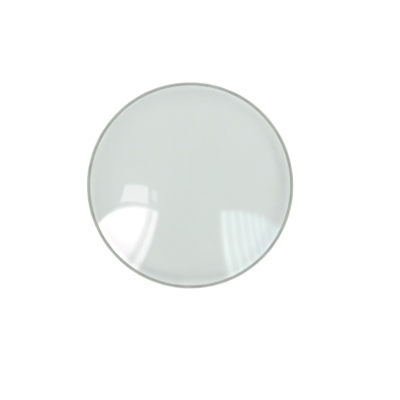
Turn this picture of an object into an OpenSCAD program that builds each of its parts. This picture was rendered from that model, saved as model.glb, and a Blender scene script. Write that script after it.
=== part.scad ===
// Laboratory watch glass: one shallow round dish of pressed soda-lime glass with a ground edge.
// The origin is the lowest point of the convex underside, +Z is the dish's axis, and the hollow faces up.
// All sizes are in millimetres.

/* [Dish] */
// Outside diameter of the glass
glass_d = 100; // [60:1:130]
// Thickness of the wall, measured square to the curve
wall_t = 1.6; // [1.4:0.1:3]
// Radius of the sphere that the convex underside follows
curve_r = 120; // [105:1:180]

/* [Ground edge] */
// Width of the flat ring ground on top of the rim
land_w = 1.5; // [0.8:0.1:1.6]
// Width of the bevel that breaks the rim's upper outer corner
top_bevel = 0.15; // [0.05:0.05:0.2]
// Depth of the bevel that breaks the rim's lower outer corner
low_bevel = 0.1; // [0.05:0.05:0.15]

/* [Hidden] */
$fn = 256;
glass_r = glass_d / 2;
// The underside and the hollow are concentric spheres, so the wall is even.
hollow_r = curve_r - wall_t;
// Height of the ground ring, where the hollow's sphere has widened to the ring's inner edge
land_z = curve_r - sqrt(hollow_r * hollow_r - (glass_r - land_w) * (glass_r - land_w));
// Height at which the underside's sphere reaches the rim
edge_z = curve_r - sqrt(curve_r * curve_r - glass_r * glass_r);
// Slope of the underside at the rim, and the direction half way between it and the upright edge
edge_slope = asin(glass_r / curve_r);
bevel_angle = (edge_slope + 90) / 2;
// Side of the square that cuts each bevel away
cutter = 4;

// Removes what lies to the lower right of a line at the given angle through the given point
module corner_cut(x, y, angle) {
    translate([x, y])
        rotate(angle)
            translate([-cutter / 2, -cutter])
                square(cutter);
}

// Half of the dish's section, on the +X side of its axis
module half_section() {
    difference() {
        intersection() {
            translate([0, curve_r])
                circle(r = curve_r);
            square([glass_r, land_z]);
        }
        translate([0, curve_r])
            circle(r = hollow_r);
        corner_cut(glass_r - top_bevel, land_z, 135);
        corner_cut(
            glass_r - low_bevel * sin(bevel_angle),
            edge_z + low_bevel * cos(bevel_angle),
            bevel_angle
        );
    }
}

module watch_glass() {
    color([0.80, 0.87, 0.83, 0.6])
        rotate_extrude()
            half_section();
}

watch_glass();
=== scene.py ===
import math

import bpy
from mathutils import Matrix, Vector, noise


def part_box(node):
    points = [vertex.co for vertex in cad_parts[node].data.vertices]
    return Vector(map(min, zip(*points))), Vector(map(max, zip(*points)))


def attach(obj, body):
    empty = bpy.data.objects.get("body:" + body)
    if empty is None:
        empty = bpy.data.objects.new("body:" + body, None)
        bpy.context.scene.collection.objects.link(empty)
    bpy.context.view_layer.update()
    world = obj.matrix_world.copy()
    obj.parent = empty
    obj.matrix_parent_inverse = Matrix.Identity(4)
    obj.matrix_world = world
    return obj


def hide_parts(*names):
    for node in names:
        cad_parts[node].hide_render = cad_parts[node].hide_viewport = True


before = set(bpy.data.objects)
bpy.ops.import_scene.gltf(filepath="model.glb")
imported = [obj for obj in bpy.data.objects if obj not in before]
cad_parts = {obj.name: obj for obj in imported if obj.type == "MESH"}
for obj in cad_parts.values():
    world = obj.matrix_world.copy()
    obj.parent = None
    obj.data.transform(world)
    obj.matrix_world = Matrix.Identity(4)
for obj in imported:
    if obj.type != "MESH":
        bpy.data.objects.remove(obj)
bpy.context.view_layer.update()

# Looks of a laboratory watch glass: a shallow spherical dish of faintly grey-green soda-lime glass with a
# ground rim. Metres, +Z up, hollow upwards, the lowest point of the underside at the origin.

NODE = "watch_glass"
LOW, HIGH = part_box(NODE)

# Sizes of the dish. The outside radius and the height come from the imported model.
GLASS_R = (HIGH[0] - LOW[0]) / 2
RIM_Z = HIGH[2]
CURVE_R = 0.120
WALL = 0.0016
HOLLOW_R = CURVE_R - WALL
LAND = 0.0015
ARRIS = 0.00012
EDGE_Z = CURVE_R - math.sqrt(CURVE_R ** 2 - GLASS_R ** 2)
EDGE_SLOPE = math.degrees(math.asin(GLASS_R / CURVE_R))

# The lower arris is an arc up to the edge: how far its centre is above the sharp corner, and how many degrees
# it starts below the slope of the underside. 90 would start it tangent to the underside.
LOW_ARRIS_RISE = 0.9 * ARRIS
LOW_ARRIS_TURN = 80

# Fineness of the lathed mesh. Its rings on the edge and on the land are at shares of the edge's height and of
# the land's width. Where the mesh turns by more than CRISP_ANGLE degrees, it stays crisp.
SPOKES = 320
RINGS = 44
ARRIS_STEPS = 6
EDGE_RINGS = (0.3, 0.5, 0.7)
LAND_RINGS = (0.25, 0.5, 0.75, 0.95)
CRISP_ANGLE = 20

# Slow waviness of the pressed faces: height and length of its waves, the power of the distance from the axis
# with which they die out towards the rim, and a seed for each face
WAVE_H = 0.000006
WAVE_L = 0.020
WAVE_FADE = 8
UNDER_SEED = 1
HOLLOW_SEED = 2

# Clear glass. Waves are per metre. A span is the part of a noise's range in which a look goes from its first
# value to its second.
GLASS_IOR = 1.52
GLASS_TINT = (0.905, 0.938, 0.918, 1)
FILM_WAVES = 45
FILM_SPAN = (0.45, 0.75)
FILM_ROUGHNESS = (0.012, 0.035)
HAIRLINE_WAVES = 150
HAIRLINE_STRETCH = (1, 14, 1)
HAIRLINE_SPAN = (0.66, 0.74)
HAIRLINE_ROUGHNESS = (0.0, 0.03)
UNEVEN_WAVES = 110
UNEVEN_STRENGTH = 0.3
UNEVEN_DEPTH = 0.00001

# Ground rim. It is rubbed paler and glossier over the outer share of the land.
# Its dark and mid greys are partly the glass's tint and partly painted shade for the light that the ground
# edge refracts away.
RIM_SHADED_DARK = (0.19, 0.207, 0.18, 1)
RIM_SHADED_MID = (0.24, 0.262, 0.225, 1)
RIM_WORN = (0.42, 0.44, 0.40, 1)
RIM_TRANSMISSION = 0.6
PATCH_WAVES = 260
PATCH_SPAN = (0.35, 0.65)
WORN_SHARE = 0.55
WORN_SPAN = (0.3, 0.6)
WORN_DEGREE = (0.6, 1.0)
WORN_GLOSS = 0.12
GRAIN_WAVES = 5200
GRAIN_SPAN = (0.3, 0.7)
GRAIN_ROUGHNESS = (0.42, 0.60)
GRAIN_STRENGTH = 0.6
GRAIN_DEPTH = 0.00002

# Camera, on the dish's axis with a long lens. The dish sits a little left of and above the frame's middle.
FRAME_W = 0.194
LENS = 100.0
SENSOR = 36.0
SHIFT_X = 0.0246
SHIFT_Y = -0.0365
CLIP_END = 50

# Floor: half its width, how far it is below the dish, and between which distances its glow grows
FLOOR_HALF = 4.0
FLOOR_GAP = 0.00002
FLOOR_GREY = (0.86, 0.86, 0.86, 1)
SWEEP_REACH = (0.8, 2.2)
SWEEP_GLOW = (0.0, 0.7)

# Overhead light
OVERHEAD_Z = 4.0
OVERHEAD_R = 1.2
OVERHEAD_SIDES = 64
OVERHEAD_GLOW = 12.5

# Brightness of the room: on the floor, where the camera sees it past the floor, and in the glass. There it
# goes from dim on the far side to bright on the near side, with more half way up and less lower down. A reach
# is the Y or Z of the directions between which it changes.
EVEN_SKY = 0.39
BACKDROP = 1.05
DIM_SKY = 0.25
BRIGHT_SKY = 0.70
SIDE_REACH = 0.7
WALL_GLOW = 0.20
WALL_REACH = (0.96, 0.74)
LOW_SHADE = 0.40
LOW_REACH = (0.72, 0.66)

# Window panels, which hang above the dish and show only as reflections in the glass. A bow is how much the
# sides splay, how much more they splay further on, how much the ends arch, and where the arch's middle is.
PANEL_Z = 1.5
PANEL_Y = 0.29
PANEL_STEPS = 24
FAR_END = 1.2
BOW_A = (0.65, 0.75, 0.75, 0.68)
BOW_A_TOP = (0.35, 0.75, 0.75, 0.68)
BOW_B = (0.20, 0.42, 0.42, -0.42)

# Light of the two windows, at the inner side and at the outer side
WHITE = ((1.0, 0.83, 0.94, 1), (1.0, 0.83, 0.94, 1))
BLIND = ((0.83, 1.0, 0.95, 1), (0.66, 0.95, 1.30, 1))

# Slats of the blind: where the first starts, the pitch and width of all, and their glow, which falls outwards
SLATS = 6
SLAT_START = -0.335
SLAT_PITCH = 0.105
SLAT_W = 0.075
SLAT_GLOW = 0.95
SLAT_FALL = 0.08


# ---------------------------------------------------------------- helpers

def link(obj):
    """Adds an object to the scene."""
    bpy.context.scene.collection.objects.link(obj)
    return obj


def circle_points(radius, count):
    """Points evenly around a circle about the Z axis."""
    angles = [2 * math.pi * i / count for i in range(count)]
    return [(radius * math.cos(angle), radius * math.sin(angle)) for angle in angles]


def new_material(name):
    """A node material with its tree and its Principled shader."""
    mat = bpy.data.materials.new(name)
    mat.use_nodes = True
    return mat, mat.node_tree, mat.node_tree.nodes["Principled BSDF"]


def new_emitter(name):
    """A node material without its Principled shader, with its tree and the input for another shader."""
    mat, tree, shader = new_material(name)
    tree.nodes.remove(shader)
    return mat, tree, tree.nodes["Material Output"].inputs["Surface"]


def put(tree, value, socket):
    """Links a socket to an input, or sets the input to a number or a colour."""
    if isinstance(value, bpy.types.NodeSocket):
        tree.links.new(value, socket)
    else:
        socket.default_value = value


def add_node(tree, kind, settings=None, **inputs):
    """A new node. Keyword names are its inputs, with _ for a space; a socket as a value is linked."""
    node = tree.nodes.new(kind)
    for name, value in (settings or {}).items():
        setattr(node, name, value)
    for name, value in inputs.items():
        put(tree, value, node.inputs[name.replace("_", " ")])
    return node


def result_of(tree, kind, values, settings=None):
    """The result of a new node, with its inputs linked or set in order."""
    node = add_node(tree, kind, settings)
    for value, socket in zip(values, node.inputs):
        put(tree, value, socket)
    return node.outputs[0]


def math_node(tree, operation, *values):
    """The result of a Math node on numbers or sockets."""
    return result_of(tree, "ShaderNodeMath", values, {"operation": operation})


def mix_colours(tree, factor, first, second):
    """A colour that goes from the first to the second as the factor goes from 0 to 1."""
    node = add_node(tree, "ShaderNodeMix", {"data_type": "RGBA"}, Factor=factor)
    colour_inputs = [socket for socket in node.inputs if socket.type == "RGBA"]
    put(tree, first, colour_inputs[0])
    put(tree, second, colour_inputs[1])
    return [socket for socket in node.outputs if socket.type == "RGBA"][0]


def spread(tree, value, span, results):
    """A value that goes smoothly from the first result to the second as another goes over a span."""
    node = add_node(tree, "ShaderNodeMapRange", {"interpolation_type": "SMOOTHSTEP"}, Value=value,
                    From_Min=span[0], From_Max=span[1], To_Min=results[0], To_Max=results[1])
    return node.outputs["Result"]


def object_point(tree, stretch=(1, 1, 1)):
    """The object's own coordinates in metres, stretched along each axis."""
    where = add_node(tree, "ShaderNodeTexCoord")
    mapping = add_node(tree, "ShaderNodeMapping", Vector=where.outputs["Object"], Scale=stretch)
    return mapping.outputs["Vector"]


def distance_from_axis(tree, point):
    """How far a point is from the Z axis, in metres."""
    split = add_node(tree, "ShaderNodeSeparateXYZ", Vector=point)
    x_squared = math_node(tree, "MULTIPLY", split.outputs["X"], split.outputs["X"])
    y_squared = math_node(tree, "MULTIPLY", split.outputs["Y"], split.outputs["Y"])
    return math_node(tree, "SQRT", math_node(tree, "ADD", x_squared, y_squared))


def noise_value(tree, point, waves, detail):
    """Noise from 0 to 1 at a point, with so many waves per metre."""
    texture = add_node(tree, "ShaderNodeTexNoise", Vector=point, Scale=waves, Detail=detail)
    return texture.outputs["Fac"]


def make_uneven(tree, shader, height, strength, depth):
    """Gives a shader's surface the relief of a height from 0 to 1, with its depth in metres."""
    bump = add_node(tree, "ShaderNodeBump", Height=height, Strength=strength, Distance=depth)
    put(tree, bump.outputs["Normal"], shader.inputs["Normal"])


# ---------------------------------------------------------------- dish

def sphere_z(radius, r):
    """Height of a sphere about the dish's centre of curvature, r away from the axis."""
    return CURVE_R - math.sqrt(radius ** 2 - r ** 2)


def arc_points(centre, radius, start, end, steps):
    """Points of a circular arc in the section, with angles in degrees."""
    points = []
    for i in range(steps + 1):
        angle = math.radians(start + (end - start) * i / steps)
        points.append((centre[0] + radius * math.cos(angle), centre[1] + radius * math.sin(angle)))
    return points


def section():
    """Half of the dish's section: points outwards on the underside, up the rim, and inwards in the hollow."""
    arris_r = GLASS_R - ARRIS
    under_r = arris_r - ARRIS
    under = [(under_r * i / RINGS, sphere_z(CURVE_R, under_r * i / RINGS)) for i in range(1, RINGS + 1)]
    rim = arc_points((arris_r, EDGE_Z + LOW_ARRIS_RISE), ARRIS, EDGE_SLOPE - LOW_ARRIS_TURN, 0, ARRIS_STEPS)
    rim += [(GLASS_R, EDGE_Z + (RIM_Z - EDGE_Z) * share) for share in EDGE_RINGS]
    rim += arc_points((arris_r, RIM_Z - ARRIS), ARRIS, 0, 90, ARRIS_STEPS)
    rim += [(GLASS_R - LAND * share, RIM_Z) for share in LAND_RINGS]
    land_r = GLASS_R - LAND
    hollow = [(land_r * i / RINGS, sphere_z(HOLLOW_R, land_r * i / RINGS)) for i in range(RINGS, 0, -1)]
    return under, rim, hollow


def waviness(x, y, seed):
    """How far the pressed face stands off its sphere at a point."""
    return WAVE_H * noise.noise(Vector((x / WAVE_L, y / WAVE_L, seed)))


def ring_points(r, z, seed):
    """Points around one ring of the dish, wavy if the ring has a seed."""
    points = []
    for x, y in circle_points(r, SPOKES):
        lift = waviness(x, y, seed) * (1 - (r / GLASS_R) ** WAVE_FADE) if seed else 0
        points.append((x, y, z + lift))
    return points


def build_dish():
    """The dish as one closed lathed mesh, with slot 0 on its polished faces and slot 1 on its ground rim."""
    under, rim, hollow = section()
    verts = [(0, 0, waviness(0, 0, UNDER_SEED))]
    for rings, seed in ((under, UNDER_SEED), (rim, None), (hollow, HOLLOW_SEED)):
        for r, z in rings:
            verts += ring_points(r, z, seed)
    verts.append((0, 0, WALL + waviness(0, 0, HOLLOW_SEED)))
    ring_count = len(under) + len(rim) + len(hollow)
    top = len(verts) - 1
    first_top = top - SPOKES
    faces, slots = [], []
    for i in range(SPOKES):
        after = (i + 1) % SPOKES
        faces += [(0, 1 + after, 1 + i), (first_top + i, first_top + after, top)]
        slots += [0, 0]
    for ring in range(ring_count - 1):
        first = 1 + ring * SPOKES
        ground = len(under) - 1 <= ring < len(under) + len(rim)
        for i in range(SPOKES):
            here, beside = first + i, first + (i + 1) % SPOKES
            faces.append((here, beside, beside + SPOKES, here + SPOKES))
            slots.append(1 if ground else 0)
    mesh = bpy.data.meshes.new("glass_dish")
    mesh.from_pydata(verts, [], faces)
    mesh.polygons.foreach_set("material_index", slots)
    mesh.polygons.foreach_set("use_smooth", [True] * len(faces))
    mesh.set_sharp_from_angle(angle=math.radians(CRISP_ANGLE))
    mesh.update()
    return link(bpy.data.objects.new("glass_dish", mesh))


def polished_glass():
    """Clear pressed glass: wipe marks and hairlines in its gloss, and a very faint unevenness."""
    mat, tree, shader = new_material("polished_glass")
    shader.inputs["Base Color"].default_value = GLASS_TINT
    shader.inputs["Transmission Weight"].default_value = 1.0
    shader.inputs["IOR"].default_value = GLASS_IOR
    film = noise_value(tree, object_point(tree), FILM_WAVES, detail=3)
    hairlines = noise_value(tree, object_point(tree, HAIRLINE_STRETCH), HAIRLINE_WAVES, detail=2)
    roughness = math_node(tree, "ADD", spread(tree, film, FILM_SPAN, FILM_ROUGHNESS),
                          spread(tree, hairlines, HAIRLINE_SPAN, HAIRLINE_ROUGHNESS))
    put(tree, roughness, shader.inputs["Roughness"])
    uneven = noise_value(tree, object_point(tree), UNEVEN_WAVES, detail=1)
    make_uneven(tree, shader, uneven, UNEVEN_STRENGTH, UNEVEN_DEPTH)
    return mat


def ground_glass():
    """The ground rim: satin, rubbed paler along its outer corner, and greyer and darker than the clear wall,
    partly by painted shade.
    """
    mat, tree, shader = new_material("ground_glass")
    shader.inputs["Transmission Weight"].default_value = RIM_TRANSMISSION
    shader.inputs["IOR"].default_value = GLASS_IOR
    point = object_point(tree)
    patches = noise_value(tree, point, PATCH_WAVES, detail=3)
    outwards = spread(tree, distance_from_axis(tree, point), (GLASS_R - WORN_SHARE * LAND, GLASS_R), (0, 1))
    worn = math_node(tree, "MULTIPLY", outwards, spread(tree, patches, WORN_SPAN, WORN_DEGREE))
    # Painted shade: the dark greys stand partly for light that the edge refracts away; the patches vary their
    # tone at random.
    grey = mix_colours(tree, spread(tree, patches, PATCH_SPAN, (0, 1)), RIM_SHADED_DARK, RIM_SHADED_MID)
    put(tree, mix_colours(tree, worn, grey, RIM_WORN), shader.inputs["Base Color"])
    grain = noise_value(tree, point, GRAIN_WAVES, detail=2)
    satin = spread(tree, grain, GRAIN_SPAN, GRAIN_ROUGHNESS)
    rubbed = math_node(tree, "MULTIPLY", worn, WORN_GLOSS)
    put(tree, math_node(tree, "SUBTRACT", satin, rubbed), shader.inputs["Roughness"])
    make_uneven(tree, shader, grain, GRAIN_STRENGTH, GRAIN_DEPTH)
    return mat


# ---------------------------------------------------------------- studio

def make_camera():
    """A camera straight above the dish, at the height from which the frame is FRAME_W wide at the rim."""
    data = bpy.data.cameras.new("camera")
    data.lens = LENS
    data.sensor_width = SENSOR
    data.shift_x = SHIFT_X
    data.shift_y = SHIFT_Y
    data.clip_end = CLIP_END
    camera = link(bpy.data.objects.new("camera", data))
    camera.location = (0, 0, RIM_Z + FRAME_W * LENS / SENSOR)
    bpy.context.scene.camera = camera


def make_floor():
    """A white sweep: a matt floor that glows towards its far edge, so that no horizon shows."""
    mesh = bpy.data.meshes.new("floor")
    corners = [(x * FLOOR_HALF, y * FLOOR_HALF, 0) for x, y in ((-1, -1), (1, -1), (1, 1), (-1, 1))]
    mesh.from_pydata(corners, [], [(0, 1, 2, 3)])
    floor = link(bpy.data.objects.new("floor", mesh))
    floor.location.z = -FLOOR_GAP
    mat, tree, shader = new_material("floor")
    shader.inputs["Base Color"].default_value = FLOOR_GREY
    shader.inputs["Roughness"].default_value = 0.9
    shader.inputs["Specular IOR Level"].default_value = 0.0
    shader.inputs["Emission Color"].default_value = (1, 1, 1, 1)
    glow = spread(tree, distance_from_axis(tree, object_point(tree)), SWEEP_REACH, SWEEP_GLOW)
    put(tree, glow, shader.inputs["Emission Strength"])
    mesh.materials.append(mat)


def mirrored_in_glass(tree):
    """1 for light that the camera gets straight off or through the glass, 0 for light on the floor."""
    ray = add_node(tree, "ShaderNodeLightPath")
    by_glass = math_node(tree, "MAXIMUM", ray.outputs["Is Transmission Ray"], ray.outputs["Is Glossy Ray"])
    before_floor = math_node(tree, "LESS_THAN", ray.outputs["Diffuse Depth"], 0.5)
    return math_node(tree, "MULTIPLY", by_glass, before_floor)


def make_overhead():
    """A round soft light high above. Its mirror image is left out, as behind a polarising filter."""
    ring = [(x, y, OVERHEAD_Z) for x, y in circle_points(OVERHEAD_R, OVERHEAD_SIDES)]
    mesh = bpy.data.meshes.new("overhead")
    mesh.from_pydata(ring, [], [tuple(reversed(range(OVERHEAD_SIDES)))])
    light = link(bpy.data.objects.new("overhead", mesh))
    mat, tree, surface = new_emitter("overhead")
    glow = add_node(tree, "ShaderNodeEmission", Strength=OVERHEAD_GLOW).outputs[0]
    clear = add_node(tree, "ShaderNodeBsdfTransparent").outputs[0]
    put(tree, result_of(tree, "ShaderNodeMixShader", (mirrored_in_glass(tree), glow, clear)), surface)
    mesh.materials.append(mat)
    light.visible_camera = False
    light.visible_glossy = False


def make_sky():
    """A dim room, with its own brightness on the floor, in the glass and where the camera sees it."""
    world = bpy.data.worlds.new("room")
    world.use_nodes = True
    bpy.context.scene.world = world
    tree = world.node_tree
    back = tree.nodes["Background"]
    back.inputs["Color"].default_value = (1, 1, 1, 1)
    where = add_node(tree, "ShaderNodeTexCoord")
    split = add_node(tree, "ShaderNodeSeparateXYZ", Vector=where.outputs["Generated"])
    near_side = add_node(tree, "ShaderNodeMapRange", Value=split.outputs["Y"], From_Min=SIDE_REACH,
                         From_Max=-SIDE_REACH, To_Min=DIM_SKY, To_Max=BRIGHT_SKY).outputs["Result"]
    half_way = spread(tree, split.outputs["Z"], WALL_REACH, (0, WALL_GLOW))
    lower = spread(tree, split.outputs["Z"], LOW_REACH, (0, LOW_SHADE))
    shaped = math_node(tree, "SUBTRACT", math_node(tree, "ADD", near_side, half_way), lower)
    room = add_node(tree, "ShaderNodeMix", A=EVEN_SKY, B=shaped, Factor=mirrored_in_glass(tree))
    ray = add_node(tree, "ShaderNodeLightPath")
    seen = add_node(tree, "ShaderNodeMix", A=room.outputs["Result"], B=BACKDROP,
                    Factor=ray.outputs["Is Camera Ray"])
    put(tree, seen.outputs["Result"], back.inputs["Strength"])


def panel_grid(inner, outer, near, far, bow, lean, lift):
    """Points of a bowed pane, and how far each is from its inner side and from its near end."""
    splay, more_splay, arch, arch_middle = bow
    shares = [i / PANEL_STEPS for i in range(PANEL_STEPS + 1)]
    points, across, along = [], [], []
    for along_share in shares:
        for across_share in shares:
            side = inner + (outer - lean * (1 - along_share) - inner) * across_share
            ahead = near + (far - near) * along_share
            x = side * (1 + splay * ahead + more_splay * ahead * ahead)
            y = PANEL_Y + ahead + arch * (side - arch_middle) ** 2
            points.append((x, y, PANEL_Z + lift))
            across.append(across_share * abs(outer - inner))
            along.append(along_share * (far - near))
    return points, across, along


def make_panel(name, inner, outer, near, far, bow, colours, strength, soft, lean=0.0, haze=0.0, lift=0.0):
    """A glowing window pane that lets light from behind it through.

    soft is how wide its borders fade, and haze is how much wider the near one does outwards. lean is how much
    its outer side slants inwards at the near end, and lift raises it so that it doesn't touch the others.
    """
    points, across, along = panel_grid(inner, outer, near, far, bow, lean, lift)
    row = PANEL_STEPS + 1
    starts = [j * row + i for j in range(PANEL_STEPS) for i in range(PANEL_STEPS)]
    mesh = bpy.data.meshes.new(name)
    mesh.from_pydata(points, [], [(start, start + row, start + row + 1, start + 1) for start in starts])
    for key, values in (("across", across), ("along", along)):
        mesh.attributes.new(key, "FLOAT", "POINT").data.foreach_set("value", values)
    panel = link(bpy.data.objects.new(name, mesh))
    mesh.materials.append(pane_light(name, abs(outer - inner), far - near, colours, strength, soft, haze))
    panel.visible_camera = False
    panel.visible_diffuse = False
    panel.visible_shadow = False


def pane_light(name, width, depth, colours, strength, soft, haze):
    """Light over a pane that fades at its borders and goes outwards from one colour to the other."""
    mat, tree, surface = new_emitter(name)
    across = add_node(tree, "ShaderNodeAttribute", {"attribute_name": "across"}).outputs["Fac"]
    along = add_node(tree, "ShaderNodeAttribute", {"attribute_name": "along"}).outputs["Fac"]
    near_soft = math_node(tree, "MULTIPLY_ADD", across, haze, soft)
    fades = ((across, (0, soft)), (across, (width, width - soft)), (along, (0, near_soft)),
             (along, (depth, depth - soft)))
    glow = math_node(tree, "MULTIPLY", mirrored_in_glass(tree), strength)
    for value, span in fades:
        glow = math_node(tree, "MULTIPLY", glow, spread(tree, value, span, (0, 1)))
    colour = mix_colours(tree, math_node(tree, "DIVIDE", across, width), *colours)
    light = add_node(tree, "ShaderNodeEmission", Color=colour, Strength=glow).outputs[0]
    clear = add_node(tree, "ShaderNodeBsdfTransparent").outputs[0]
    put(tree, result_of(tree, "ShaderNodeAddShader", (light, clear)), surface)
    return mat


def make_windows():
    """A two-pane window with a small pane above it, and a paler window with a blind on the other side."""
    make_panel("window_a", inner=0.34, outer=1.50, near=-0.10, far=FAR_END, bow=BOW_A, colours=WHITE,
               strength=1.7, soft=0.04, haze=0.15)
    make_panel("window_a_main", inner=0.45, outer=1.50, near=-0.09, far=FAR_END, bow=BOW_A, colours=WHITE,
               strength=3.3, soft=0.08, haze=0.15, lift=0.002)
    make_panel("window_a_strip", inner=0.35, outer=0.44, near=-0.07, far=FAR_END, bow=BOW_A, colours=WHITE,
               strength=1.5, soft=0.035, lift=0.004)
    make_panel("window_a_top", inner=0.46, outer=0.90, near=-0.325, far=-0.08, bow=BOW_A_TOP, colours=WHITE,
               strength=2.2, soft=0.05, lean=0.10, lift=0.002)
    make_panel("window_a_corner", inner=0.36, outer=0.46, near=-0.30, far=-0.15, bow=BOW_A_TOP, colours=WHITE,
               strength=1.2, soft=0.035, lift=0.008)
    make_panel("window_a_bar", inner=0.34, outer=0.95, near=-0.16, far=0.02, bow=BOW_A_TOP, colours=WHITE,
               strength=0.35, soft=0.05, lift=0.006)
    make_panel("window_b", inner=-0.29, outer=-1.60, near=-0.05, far=FAR_END, bow=BOW_B, colours=BLIND,
               strength=1.55, soft=0.07, haze=0.10, lift=0.006)
    for i in range(SLATS):
        inner = SLAT_START - SLAT_PITCH * i
        make_panel("window_b_slat_%d" % i, inner=inner, outer=inner - SLAT_W, near=-0.03, far=FAR_END,
                   bow=BOW_B, colours=BLIND, strength=SLAT_GLOW - SLAT_FALL * i, soft=0.035, lift=0.008)


make_camera()
dish = build_dish()
dish.data.materials.append(polished_glass())
dish.data.materials.append(ground_glass())
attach(dish, "root")
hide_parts(NODE)
make_floor()
make_overhead()
make_sky()
make_windows()

bpy.context.scene.view_settings.view_transform = "Standard"
